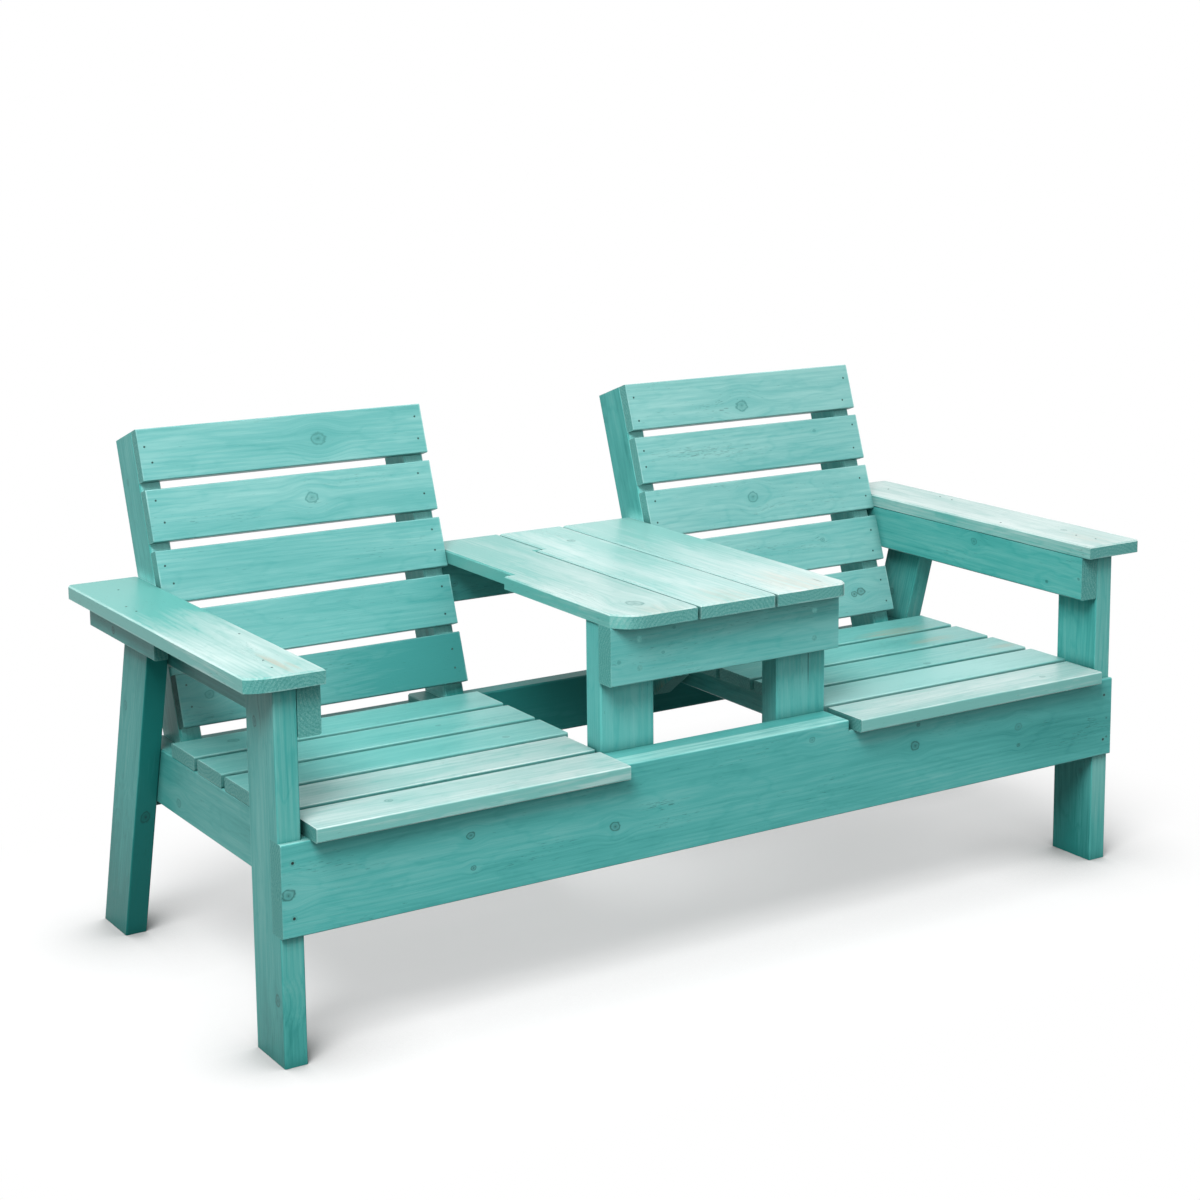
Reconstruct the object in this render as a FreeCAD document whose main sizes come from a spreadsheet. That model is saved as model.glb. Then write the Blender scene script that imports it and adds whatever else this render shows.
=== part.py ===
import FreeCAD
import Part
import Sketcher
import os
import re
from FreeCAD import Placement, Rotation, Vector

# Companion bench: two garden chairs that share a table, screwed together from planed softwood.
# X runs along the bench, Y from front to back and Z up, in millimetres.
# The origin is on the floor, under the middle of the bench.

sizes = {
    # boards and posts
    "frame_stock": 36,
    "board_stock": 22,
    "leg_width": 98,
    "eased_edge": 2.5,
    "corner_radius": 7,
    "fit_gap": 1,
    # overall
    "bench_length": 1596,
    "chair_gap": 424,
    # rails and bearers
    "rail_clearance": 196,
    "rail_height": 140,
    "rail_proud": 8,
    "rail_rise": 18,
    "rail_rise_gap": 10,
    "side_rail_height": 95,
    "seat_bearer_height": 50,
    "table_bearer_height": 95,
    "rear_rail_height": 95,
    "rear_rail_drop": 22,
    # arms and rear legs
    "arm_height": 562,
    "arm_support_height": 78,
    "arm_support_length": 690,
    "armrest_width": 118,
    "armrest_length": 725,
    "armrest_nose": 20,
    "armrest_clip_across": 22,
    "armrest_clip_along": 15,
    "armrest_sweep": 82,
    "arm_cleat_height": 42,
    "arm_cleat_lead": 74,
    "arm_cleat_setback": 34,
    "rear_leg_reach": 633,
    "rear_leg_width": 95,
    "rear_leg_lean": 16.7,
    # seats
    "seat_depth": 521,
    "seat_nose": 30,
    "seat_slat_width": 93,
    "seat_slat_gap": 13,
    "seat_end_setback": 4,
    "front_slat_setback": 10,
    # backs
    "back_angle": 19.1,
    "back_slat_width": 87,
    "back_slat_gap": 14,
    "back_start": 10,
    "upright_width": 77,
    "upright_foot_drop": 28,
    "upright_foot_slant": 48,
    # table
    "table_depth": 672,
    "table_gap": 6,
    "table_notch_start": 360,
    "table_notch_depth": 18,
    "table_step_start": 510,
    "table_step": 17,
    "table_clip_across": 25,
    "table_clip_along": 31,
    "table_sweep": 45,
    "table_round": 20,
    "table_post_width": 99,
    "table_post_thickness": 44,
    "table_post_inset": 3,
    "front_apron_height": 94,
    "rear_apron_height": 77,
    "rear_apron_inset": 3,
    # screws
    "screw_shank": 5,
    "screw_head": 10,
    "screw_length": 60,
    "screw_clearance": 0.4,
    "rail_screw_pitch": 82,
    "apron_screw_pitch": 46,
}
slatsPerSeat = 5
slatsPerBack = 5

doc = FreeCAD.newDocument("CompanionBench")
sheet = doc.addObject("Spreadsheet::Sheet", "Sizes")
for row, (name, value) in enumerate(sizes.items(), start=1):
    sheet.set(f"A{row}", name)
    sheet.set(f"B{row}", str(value))
    sheet.setAlias(f"B{row}", name)
doc.recompute()


def cells(formula):
    """A formula of sizes by name, as the sheet's cells."""
    return re.sub(r"[a-z]+(_[a-z]+)+", lambda word: "Sizes." + word.group(), str(formula))


def number(formula):
    """What a formula of sizes comes to now."""
    return float(sheet.evalExpression(cells(formula)))


def bind(thing, property, formula):
    thing.setExpression(property, cells(formula))


# Planes that several pieces share, as formulas of the sizes.
# Across the bench they are distances from the middle, the same to the left and to the right.
legOuter = "(bench_length / 2)"
legInner = "(bench_length / 2 - frame_stock)"
armInner = "(bench_length / 2 - 2 * frame_stock)"
bearerOuter = "(chair_gap / 2 + 2 * frame_stock)"
uprightOuter = "(chair_gap / 2 + frame_stock)"
uprightInner = "(chair_gap / 2)"
seatEnd = "(chair_gap / 2 + seat_end_setback)"
tableRight = "(chair_gap / 2 - fit_gap)"
tableNotch = f"(-{tableRight})"
tableLeft = f"(-{tableRight} - table_notch_depth)"
tableWidth = f"({tableRight} - {tableLeft})"
riseRight = f"({seatEnd} - rail_rise_gap)"

railTop = "(rail_clearance + rail_height)"
seatTop = f"({railTop} + board_stock)"
riseTop = f"({railTop} + rail_rise)"
bearerBottom = f"({riseTop} - table_bearer_height)"
sideRailBottom = f"({railTop} - side_rail_height)"

# Depths are from the front face of the front legs.
railBack = "(frame_stock - rail_proud)"
bearerBack = f"({railBack} + frame_stock)"
backHeight = (
    f"(back_start + {slatsPerBack} * back_slat_width + {slatsPerBack - 1} * back_slat_gap)"
)
backThickness = "(board_stock + upright_width)"
backDepth = f"(seat_depth + {backHeight} * sin(back_angle) + {backThickness} * cos(back_angle))"
middle = f"(({backDepth} - seat_nose) / 2)"


def backFace(height):
    """Depth of the slats' front faces at a height above the floor."""
    return f"(seat_depth + ({height} - {seatTop}) * tan(back_angle))"


def uprightFace(height):
    """Depth of the uprights' front faces at a height above the floor."""
    return f"({backFace(height)} + board_stock / cos(back_angle))"


def rearLegFace(height):
    """Depth of the rear legs' front faces at a height above the floor."""
    return f"(rear_leg_reach - {height} * tan(rear_leg_lean))"


rearRailTop = f"({railTop} - rear_rail_drop)"
rearRailBottom = f"({rearRailTop} - rear_rail_height)"
rearRailFront = f"({uprightFace(rearRailTop)} + upright_width / cos(back_angle))"


def newBody(label, x=0, y=0, z=0, lean=None):
    """A piece whose own origin lies at x, y, z of the bench, leaning back if told to."""
    body = doc.addObject("PartDesign::Body", label)
    body.Label = label
    if lean:
        body.Placement = Placement(Vector(), Rotation(Vector(1, 0, 0), -number(lean)))
        bind(body, "Placement.Rotation.Angle", f"-{lean}")
    bind(body, "Placement.Base.x", x)
    bind(body, "Placement.Base.y", f"{y} - {middle}")
    bind(body, "Placement.Base.z", z)
    return body


def datum(body, role):
    return next(feature for feature in body.Origin.OriginFeatures if feature.Role == role)


def newSketch(body, plane, name):
    sketch = body.newObject("Sketcher::SketchObject", f"{body.Name}_{name}")
    sketch.AttachmentSupport = [(datum(body, plane), "")]
    sketch.MapMode = "FlatFace"
    return sketch


def fix(sketch, geometry, point, across, up):
    """Ties a point of the sketch to its place, by two formulas."""
    for direction, formula in (("DistanceX", across), ("DistanceY", up)):
        index = sketch.addConstraint(
            Sketcher.Constraint(direction, -1, 1, geometry, point, number(formula))
        )
        bind(sketch, f"Constraints[{index}]", formula)


def outline(body, plane, corners):
    """A closed outline with straight sides, each corner tied to its place."""
    sketch = newSketch(body, plane, "outline")
    places = [Vector(number(across), number(up), 0) for across, up in corners]
    count = len(corners)
    for i in range(count):
        sketch.addGeometry(Part.LineSegment(places[i], places[(i + 1) % count]), False)
    for i in range(count):
        sketch.addConstraint(Sketcher.Constraint("Coincident", i, 2, (i + 1) % count, 1))
    for i, (across, up) in enumerate(corners):
        fix(sketch, i, 1, across, up)
    return sketch


def pad(body, plane, corners, length):
    feature = body.newObject("PartDesign::Pad", f"{body.Name}_pad")
    feature.Profile = outline(body, plane, corners)
    feature.Reversed = plane == "XZ_Plane"
    bind(feature, "Length", length)
    doc.recompute()


def rectangle(left, bottom, right, top):
    return [(left, bottom), (right, bottom), (right, top), (left, top)]


def dress(body, kind, size, chosen):
    """Rounds or chamfers the straight edges that the test chooses by direction and middle point."""
    base = body.Tip
    names = []
    for i, edge in enumerate(base.Shape.Edges, start=1):
        if isinstance(edge.Curve, Part.Line) and chosen(edge.Curve.Direction, edge.CenterOfMass):
            names.append(f"Edge{i}")
    feature = body.newObject(f"PartDesign::{kind}", f"{body.Name}_{kind}")
    feature.Base = (base, names)
    bind(feature, "Radius" if kind == "Fillet" else "Size", size)
    doc.recompute()


def easeAlong(body, direction, kind, spared=None):
    """Eases the edges along a board, apart from those at a spared depth, which meet another piece."""
    dress(
        body,
        kind,
        "eased_edge",
        lambda line, at: abs(line.dot(direction)) > 0.999
        and (spared is None or abs(at.y - spared) > 0.1),
    )


alongX, alongY, alongZ = Vector(1, 0, 0), Vector(0, 1, 0), Vector(0, 0, 1)


def acrossBoard(label, x, y, z, length, thickness, width, lean=None, kind="Fillet", spared=None):
    """A board that runs along X, drawn as its section and padded to its length."""
    body = newBody(label, x, y, z, lean)
    pad(body, "YZ_Plane", rectangle(0, 0, thickness, width), length)
    easeAlong(body, alongX, kind, spared)
    return body


def sideBoard(label, x, corners, direction, kind="Fillet", spared=None, thickness="frame_stock"):
    """A board whose broad face lies across the bench, drawn as its side view."""
    body = newBody(label, x)
    pad(body, "YZ_Plane", corners, thickness)
    easeAlong(body, direction, kind, spared)
    return body


def topBoard(label, z, corners, rounded=()):
    """A flat board drawn from above, with its chosen corners rounded and its top edges eased."""
    body = newBody(label, z=z)
    pad(body, "XY_Plane", corners, "board_stock")
    for radius, points in rounded:
        spots = [(number(x), number(y)) for x, y in points]
        dress(
            body,
            "Fillet",
            radius,
            lambda line, at: abs(line.z) > 0.999
            and any(abs(at.x - x) + abs(at.y - y) < 0.1 for x, y in spots),
        )
    height = number("board_stock")
    dress(
        body,
        "Chamfer",
        "eased_edge",
        lambda line, at: abs(line.z) < 0.001 and abs(at.z - height) < 0.001,
    )
    return body


def screwHoles(body, spots, depth=None):
    """Holes for screws from the front: countersunk clearance holes, or pilot holes of a depth."""
    sketch = newSketch(body, "XZ_Plane", "holes")
    for i, (across, up) in enumerate(spots):
        centre = Vector(number(across), number(up), 0)
        sketch.addGeometry(Part.Circle(centre, Vector(0, 0, 1), number("screw_shank") / 2), False)
        fix(sketch, i, 3, across, up)
        diameter = sketch.addConstraint(Sketcher.Constraint("Diameter", i, number("screw_shank")))
        bind(sketch, f"Constraints[{diameter}]", "screw_shank + screw_clearance")
    doc.recompute()
    if depth:
        hole = body.newObject("PartDesign::Pocket", f"{body.Name}_pilots")
        hole.Profile = sketch
        bind(hole, "Length", depth)
    else:
        hole = body.newObject("PartDesign::Hole", f"{body.Name}_countersinks")
        hole.Profile = sketch
        hole.DepthType = "ThroughAll"
        hole.HoleCutType = "Countersink"
        hole.HoleCutCustomValues = True
        hole.HoleCutCountersinkAngle = 90
        bind(hole, "Diameter", "screw_shank + screw_clearance")
        bind(hole, "HoleCutDiameter", "screw_head")
    before = body.Shape.Volume
    doc.recompute()
    if not body.Shape.Volume < before:
        raise RuntimeError(f"{body.Label} has no screw holes")


def screws(label, x, y, z, columns, columnPitch, rows, rowPitch):
    """A grid of countersunk screws that point to the back, each a solid of its own."""
    body = newBody(label, x, y, z)
    body.AllowCompound = True
    coneDepth = "(screw_head - screw_shank) / 2"
    turned = body.newObject("PartDesign::Revolution", f"{label}_turned")
    halfSection = [
        (0, 0),
        ("screw_head / 2", 0),
        ("screw_shank / 2", coneDepth),
        ("screw_shank / 2", "screw_length"),
        (0, "screw_length"),
    ]
    turned.Profile = outline(body, "XY_Plane", halfSection)
    turned.ReferenceAxis = (turned.Profile[0], ["V_Axis"])
    turned.Angle = 360
    doc.recompute()
    grid = body.newObject("PartDesign::LinearPattern", f"{label}_grid")
    grid.Originals = [turned]
    grid.Direction = (datum(body, "X_Axis"), [""])
    grid.Occurrences = columns
    bind(grid, "Length", f"{columns - 1} * ({columnPitch})")
    grid.Direction2 = (datum(body, "Z_Axis"), [""])
    grid.Occurrences2 = rows
    bind(grid, "Length2", f"{rows - 1} * ({rowPitch})")
    body.Tip = grid
    doc.recompute()
    if len(body.Shape.Solids) != columns * rows:
        raise RuntimeError(f"{label} has {len(body.Shape.Solids)} screws")


# Front rail across the whole bench, cut down under both seats and left higher between them,
# and screwed to the front legs near its ends
railSpotHeights = [f"rail_height / 2 + {row} * rail_screw_pitch / 2" for row in (-1, 1)]
frontRail = newBody("front_rail", y="-rail_proud", z="rail_clearance")
pad(
    frontRail,
    "XZ_Plane",
    [
        (f"-{legOuter}", 0),
        (legOuter, 0),
        (legOuter, "rail_height"),
        (riseRight, "rail_height"),
        (riseRight, "rail_height + rail_rise"),
        (tableLeft, "rail_height + rail_rise"),
        (tableLeft, "rail_height"),
        (f"-{legOuter}", "rail_height"),
    ],
    "frame_stock",
)
easeAlong(frontRail, alongX, "Fillet", spared=number("frame_stock"))
screwHoles(
    frontRail,
    [
        (f"{side} * ({legOuter} - frame_stock / 2)", up)
        for side in (-1, 1)
        for up in railSpotHeights
    ],
)
screws(
    "rail_screws",
    f"-{legOuter} + frame_stock / 2",
    "-rail_proud",
    f"rail_clearance + {railSpotHeights[0]}",
    2,
    "bench_length - frame_stock",
    2,
    "rail_screw_pitch",
)

# Rear rail, between the rear legs and tight behind the uprights
acrossBoard(
    "rear_rail",
    f"-{legInner}",
    rearRailFront,
    rearRailBottom,
    f"2 * {legInner}",
    "frame_stock",
    "rear_rail_height",
    kind="Chamfer",
)

# Table bearer, behind the higher part of the front rail
acrossBoard(
    "table_bearer",
    tableLeft,
    railBack,
    bearerBottom,
    f"{riseRight} - {tableLeft}",
    "frame_stock",
    "table_bearer_height",
    kind="Chamfer",
    spared=0,
)

# Front legs, housed for the front rail, and rear legs, which rake forward to meet the armrests
frontLegSide = [
    (0, 0),
    ("leg_width", 0),
    ("leg_width", "arm_height"),
    (0, "arm_height"),
    (0, railTop),
    (railBack, railTop),
    (railBack, "rail_clearance"),
    (0, "rail_clearance"),
]
rearLegDepth = "rear_leg_width / cos(rear_leg_lean)"
rearLegSide = [
    (rearLegFace(0), 0),
    (f"{rearLegFace(0)} + {rearLegDepth}", 0),
    (f"{rearLegFace('arm_height')} + {rearLegDepth}", "arm_height"),
    (rearLegFace("arm_height"), "arm_height"),
]
alongRearLeg = Rotation(alongX, number("rear_leg_lean")).multVec(alongZ)
for name, x in (("left", f"-{legOuter}"), ("right", legInner)):
    frontLeg = sideBoard(f"front_leg_{name}", x, frontLegSide, alongZ, spared=number(railBack))
    screwHoles(
        frontLeg,
        [("frame_stock / 2", f"rail_clearance + {up}") for up in railSpotHeights],
        "screw_length - rail_proud + fit_gap",
    )
    sideBoard(f"rear_leg_{name}", x, rearLegSide, alongRearLeg)

# Side rails and arm supports, on the inner faces of the legs
sideRailSide = rectangle(railBack, sideRailBottom, rearRailFront, railTop)
armSupportSide = rectangle(0, "arm_height - arm_support_height", "arm_support_length", "arm_height")
for name, x in (("left", f"-{legInner}"), ("right", armInner)):
    sideBoard(f"side_rail_{name}", x, sideRailSide, alongY, "Chamfer")
    sideBoard(f"arm_support_{name}", x, armSupportSide, alongY, "Chamfer")

# Arm cleats, on the outer faces of the rear legs, where the armrests reach past them
armrestBack = "(armrest_length - armrest_nose)"
armCleatSide = rectangle(
    f"{rearLegFace('arm_height')} - arm_cleat_lead",
    "arm_height - arm_cleat_height",
    f"{armrestBack} - arm_cleat_setback",
    "arm_height",
)
for name, x in (("left", f"-{legOuter} - board_stock"), ("right", legOuter)):
    sideBoard(f"arm_cleat_{name}", x, armCleatSide, alongY, thickness="board_stock")

# Seat bearers, which carry the inner ends of the seat slats
seatBearerSide = rectangle(railBack, f"{railTop} - seat_bearer_height", rearRailFront, railTop)
for name, x in (("left", f"-{bearerOuter}"), ("right", uprightOuter)):
    sideBoard(f"seat_bearer_{name}", x, seatBearerSide, alongY, "Chamfer")

# Back uprights, cut at a slant at the foot and square at the top
alongBack = Rotation(alongX, -number("back_angle")).multVec(alongZ)
uprightFoot = f"({railTop} - upright_foot_drop)"
uprightHeel = f"({uprightFoot} - upright_foot_slant)"
uprightSide = [
    (uprightFace(uprightFoot), uprightFoot),
    (f"{uprightFace(uprightHeel)} + upright_width / cos(back_angle)", uprightHeel),
    (backDepth, f"{seatTop} + {backHeight} * cos(back_angle) - {backThickness} * sin(back_angle)"),
    (
        f"{backDepth} - upright_width * cos(back_angle)",
        f"{seatTop} + {backHeight} * cos(back_angle) - board_stock * sin(back_angle)",
    ),
]
for name, x in (
    ("left_outer", f"-{armInner}"),
    ("left_inner", f"-{uprightOuter}"),
    ("right_inner", uprightInner),
    ("right_outer", f"{armInner} - frame_stock"),
):
    sideBoard(f"back_upright_{name}", x, uprightSide, alongBack, "Chamfer")

# Back slats, over the front of the uprights, counted from the seat up
for name, x in (("left", f"-{armInner}"), ("right", uprightInner)):
    for i in range(slatsPerBack):
        rise = f"(back_start + {i} * (back_slat_width + back_slat_gap))"
        acrossBoard(
            f"back_slat_{name}_{i + 1}",
            x,
            f"(seat_depth + {rise} * sin(back_angle))",
            f"{seatTop} + {rise} * cos(back_angle)",
            f"{armInner} - {uprightInner}",
            "board_stock",
            "back_slat_width",
            "back_angle",
        )

# Seat slats, counted from the front; the left chair's end short of the table post where they pass it
postBack = f"({bearerBack} + table_post_thickness)"
for i in range(slatsPerSeat):
    front = f"({i} * (seat_slat_width + seat_slat_gap) - seat_nose)"
    passesPost = number(front) < number(postBack)
    outerEnd = legInner if i else f"({legInner} - front_slat_setback)"
    leftEnd = f"({tableLeft} - fit_gap)" if passesPost else f"(-{seatEnd})"
    for name, start, end in (("left", f"(-{outerEnd})", leftEnd), ("right", seatEnd, outerEnd)):
        acrossBoard(
            f"seat_slat_{name}_{i + 1}",
            start,
            front,
            railTop,
            f"{end} - {start}",
            "seat_slat_width",
            "board_stock",
        )

# Armrests: the left one's outer front corner is swept back in a curve, the right one's only rounded
for name, side in (("left", "-"), ("right", "")):
    inner = f"{side}{armInner}"
    outer = f"{side}({armInner} + armrest_width)"
    backEnds = [(outer, armrestBack), (inner, armrestBack)]
    if name == "left":
        clipped = f"{side}({armInner} + armrest_width - armrest_clip_across)"
        nose = [(clipped, "-armrest_nose"), (outer, "armrest_clip_along - armrest_nose")]
        rounded = [("armrest_sweep", nose[:1]), ("corner_radius", backEnds)]
    else:
        nose = [(outer, "-armrest_nose")]
        rounded = [("corner_radius", nose + backEnds)]
    topBoard(
        f"armrest_{name}",
        "arm_height",
        [(inner, "-armrest_nose"), *nose, *backEnds],
        rounded,
    )

# Table top of three boards: the left one is notched for the left chair's upright, and the joint
# beside it steps over in the same way; its front corner is swept back, the right one's rounded
tableBoard = f"(({tableWidth} - 2 * table_gap) / 3)"
joint = f"({tableLeft} + {tableBoard})"
clipEnds = [(f"{tableLeft} + table_clip_across", 0), (tableLeft, "table_clip_along")]
topBoard(
    "table_board_left",
    "arm_height",
    [
        clipEnds[0],
        (joint, 0),
        (joint, "table_step_start"),
        (f"{joint} + table_step", "table_step_start"),
        (f"{joint} + table_step", "table_depth"),
        (tableNotch, "table_depth"),
        (tableNotch, "table_notch_start"),
        (tableLeft, "table_notch_start"),
        clipEnds[1],
    ],
    [("table_sweep", clipEnds[:1])],
)
left = f"({joint} + table_gap)"
right = f"({tableRight} - {tableBoard} - table_gap)"
topBoard(
    "table_board_middle",
    "arm_height",
    [
        (left, 0),
        (right, 0),
        (right, "table_depth"),
        (f"{left} + table_step", "table_depth"),
        (f"{left} + table_step", "table_step_start"),
        (left, "table_step_start"),
    ],
)
topBoard(
    "table_board_right",
    "arm_height",
    rectangle(f"{tableRight} - {tableBoard}", 0, tableRight, "table_depth"),
    [("table_round", [(tableRight, 0)])],
)

# Table aprons: the front one over the posts, the rear one between the inner uprights
frontApron = acrossBoard(
    "table_apron_front",
    tableLeft,
    railBack,
    "arm_height - front_apron_height",
    tableWidth,
    "frame_stock",
    "front_apron_height",
)
apronRows = [f"front_apron_height / 2 + {row} * apron_screw_pitch / 2" for row in (-1, 1)]
apronColumns = ["table_post_inset + table_post_width / 2", f"{tableWidth} - table_post_width / 2"]
screwHoles(frontApron, [(across, up) for across in apronColumns for up in apronRows])
screws(
    "apron_screws",
    f"{tableLeft} + {apronColumns[0]}",
    railBack,
    f"arm_height - front_apron_height + {apronRows[0]}",
    2,
    f"{apronColumns[1]} - ({apronColumns[0]})",
    2,
    "apron_screw_pitch",
)
acrossBoard(
    "table_apron_rear",
    f"-{uprightInner}",
    f"{uprightFace('arm_height')} + rear_apron_inset",
    "arm_height - rear_apron_height",
    "chair_gap",
    "frame_stock",
    "rear_apron_height",
    kind="Chamfer",
)

# Table posts, behind the table bearer and the front apron
postSection = rectangle(0, 0, "table_post_width", "table_post_thickness")
pilotFoot = f"arm_height - front_apron_height - {bearerBottom}"
for name, x in (
    ("left", f"({tableLeft} + table_post_inset)"),
    ("right", f"({tableRight} - table_post_width)"),
):
    post = newBody(f"table_post_{name}", x, bearerBack, bearerBottom)
    pad(post, "XY_Plane", postSection, f"arm_height - {bearerBottom}")
    easeAlong(post, alongZ, "Chamfer")
    screwHoles(
        post,
        [("table_post_width / 2", f"{pilotFoot} + {up}") for up in apronRows],
        "screw_length - frame_stock + fit_gap",
    )

doc.recompute()
for item in doc.Objects:
    if "Invalid" in item.State or "Error" in item.State:
        raise RuntimeError(f"{item.Label} failed: {item.State}")
pieces = [item for item in doc.Objects if item.TypeId == "PartDesign::Body"]
for piece in pieces:
    if piece.Shape.isNull() or not piece.Shape.isValid():
        raise RuntimeError(f"{piece.Label} has no valid shape")

os.makedirs("parts", exist_ok=True)
for piece in pieces:
    piece.Shape.exportStep(f"parts/{piece.Label}.step")
print(len(pieces), "pieces,", sum(len(piece.Shape.Solids) for piece in pieces), "solids")
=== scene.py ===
import math
import random

import bmesh
import bpy
from mathutils import Matrix, Vector


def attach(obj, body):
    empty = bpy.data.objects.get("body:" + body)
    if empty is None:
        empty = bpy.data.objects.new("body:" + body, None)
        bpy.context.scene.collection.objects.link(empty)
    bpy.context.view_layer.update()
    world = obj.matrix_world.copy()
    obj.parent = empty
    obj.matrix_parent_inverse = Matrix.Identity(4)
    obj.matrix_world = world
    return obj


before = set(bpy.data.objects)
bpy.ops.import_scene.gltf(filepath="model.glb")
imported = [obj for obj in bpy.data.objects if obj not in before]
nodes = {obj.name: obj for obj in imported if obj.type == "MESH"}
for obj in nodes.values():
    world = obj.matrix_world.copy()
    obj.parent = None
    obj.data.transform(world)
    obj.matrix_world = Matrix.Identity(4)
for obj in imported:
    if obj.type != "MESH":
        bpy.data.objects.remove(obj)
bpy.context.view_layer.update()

print("frame loaded:", len(nodes), "boards and screw sets")


def linear(hexColour):
    # sRGB hex to the linear colour that the sockets take
    parts = [int(hexColour[i:i + 2], 16) / 255 for i in (1, 3, 5)]
    return (*[p / 12.92 if p <= 0.04045 else ((p + 0.055) / 1.055) ** 2.4 for p in parts], 1)


def grey(value):
    return (value, value, value, 1)


def addNode(tree, kind, settings=None, inputs=None, out=0):
    # adds one node, sets it, links or fills its inputs, and gives back one output;
    # "stops" fills a colour ramp, and "From" or "To" both ends of a range
    node = tree.nodes.new("ShaderNode" + kind)
    for name, value in (settings or {}).items():
        if name == "stops":
            ramp = node.color_ramp
            while len(ramp.elements) < len(value):
                ramp.elements.new(0.5)
            for element, (position, colour) in zip(ramp.elements, value):
                element.position, element.color = position, colour
        else:
            setattr(node, name, value)
    for name, value in (inputs or {}).items():
        if isinstance(value, bpy.types.NodeSocket):
            tree.links.new(value, node.inputs[name])
        elif name in ("From", "To"):
            for end, limit in zip((" Min", " Max"), value):
                node.inputs[name + end].default_value = limit
        else:
            node.inputs[name].default_value = value
    return node.outputs[out] if node.outputs else node


def newMaterial(name):
    material = bpy.data.materials.new(name)
    material.use_nodes = True
    material.node_tree.nodes.clear()
    return material, material.node_tree


def dress(name, material):
    slots = nodes[name].data.materials
    for place in range(len(slots)):
        slots[place] = material


boardLie = {
    "backLean": 19.1,   # degrees, the chair backs from upright
    "legRake": 16.7,    # degrees, the rear legs from upright
}
lean = math.radians(boardLie["backLean"])
rake = math.radians(boardLie["legRake"])
upBack = Vector((0, math.sin(lean), math.cos(lean)))
upLeg = Vector((0, -math.sin(rake), math.cos(rake)))
xWay, yWay, zWay = Vector((1, 0, 0)), Vector((0, 1, 0)), Vector((0, 0, 1))

# name start: grain direction, width direction, finish
boardKinds = {
    "seat_slat": (xWay, yWay, "seat"),
    "back_slat": (xWay, upBack, "back"),
    "back_upright": (upBack, upBack.cross(xWay), "side"),
    "armrest": (yWay, xWay, "top"),
    "arm_support": (yWay, zWay, "side"),
    "arm_cleat": (yWay, zWay, "side"),
    "front_leg": (zWay, yWay, "side"),
    "rear_leg": (upLeg, upLeg.cross(xWay), "side"),
    "side_rail": (yWay, zWay, "side"),
    "seat_bearer": (yWay, zWay, "side"),
    "front_rail": (xWay, zWay, "rail"),
    "rear_rail": (xWay, zWay, "rail"),
    "table_bearer": (xWay, zWay, "rail"),
    "table_apron": (xWay, zWay, "rail"),
    "table_post": (zWay, xWay, "rail"),
    "table_board": (yWay, xWay, "top"),
}


def boxOf(name, turn):
    # the lowest and highest corner of a node along its own axes
    corners = [turn @ v.co for v in nodes[name].data.vertices]
    low = Vector(min(c[i] for c in corners) for i in range(3))
    high = Vector(max(c[i] for c in corners) for i in range(3))
    return low, high


def lieOf(name):
    # the board's own axes, its middle and half its length, width and thickness
    kind = next(k for k in boardKinds if name.startswith(k))
    along, across, finish = boardKinds[kind]
    turn = Matrix((along, across, along.cross(across)))
    low, high = boxOf(name, turn)
    return turn, (low + high) / 2, (high - low) / 2, finish


# Pine boards, planed and brushed with a thin teal stain. The growth rings and knots show
# through, late wood takes the stain deeper, end grain drinks most, and gaps keep what ran in,
# darkened further by painted shade, as are sheltered places.
# Each pattern moves the tone by its depth. The tone runs from 0, deep, to 1, pale.
pine = {
    "ringSpacing": 0.0058,   # growth rings 6 mm apart where a wide board cuts them slantwise
    "ringDepth": 0.20,
    "fibreDepth": 0.45,
    "streakDepth": 0.42,     # where the brush left more or less stain
    "cloudDepth": 1.0,
    "tideDepth": 0.10,       # faint rims round the places that dried last
    "boardSpread": 0.07,     # tone from board to board
    "waveReach": (0, 0.022, 0.014),   # metres that slow waves in the trunk move the rings
    "ringTones": ((0.0, 0.5), (0.1, 0.72), (0.5, 0.64), (0.84, 0.12), (1.0, 0.3)),   # early wood to late
    "pithAside": 0.03,       # metres, the most that the pith lies off the board's middle line
    "pithAway": (0.03, 0.08),   # metres that it lies above or below the board
    "pithSkew": (0.03, 0.02),   # radians, the most that it is out of line with the board
    "tideRim": (0.465, 0.5),    # share of a puddle's height that dries to a rim
    "wideFace": (0.4, 0.85),    # how squarely a surface faces out, from the narrow face to the wide one
}

# how often each pattern repeats in a metre, along and across the grain, its detail and roughness
patterns = {
    "trunkWave": (1.3, 7, 2.0, 0.55),
    "fibre": (18.75, 625, 3.0, 0.55),      # real fibres are 0.04 mm, drawn 1.6 mm wide so that they show
    "streak": (0.05 / 0.007, 1 / 0.007, 2.0, 0.55),   # bristle marks 7 mm wide
    "cloud": (1 / 0.34, 1 / 0.06, 4.0, 0.55),         # 340 by 60 mm
    "puddle": (5, 16, 3.0, 0.55),          # 200 by 60 mm
    "resinLine": (60, 900, 1.0, 0.55),     # 17 by 1 mm
    "resinPlace": (4, 22, 1.0, 0.55),      # 250 by 45 mm
    "pore": (40, 520, 3.0, 0.7),           # 2 mm wide, coarser than real ones so that they show
    "knotRim": (90, 150, 2.0, 0.55),       # 7 mm
}
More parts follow.
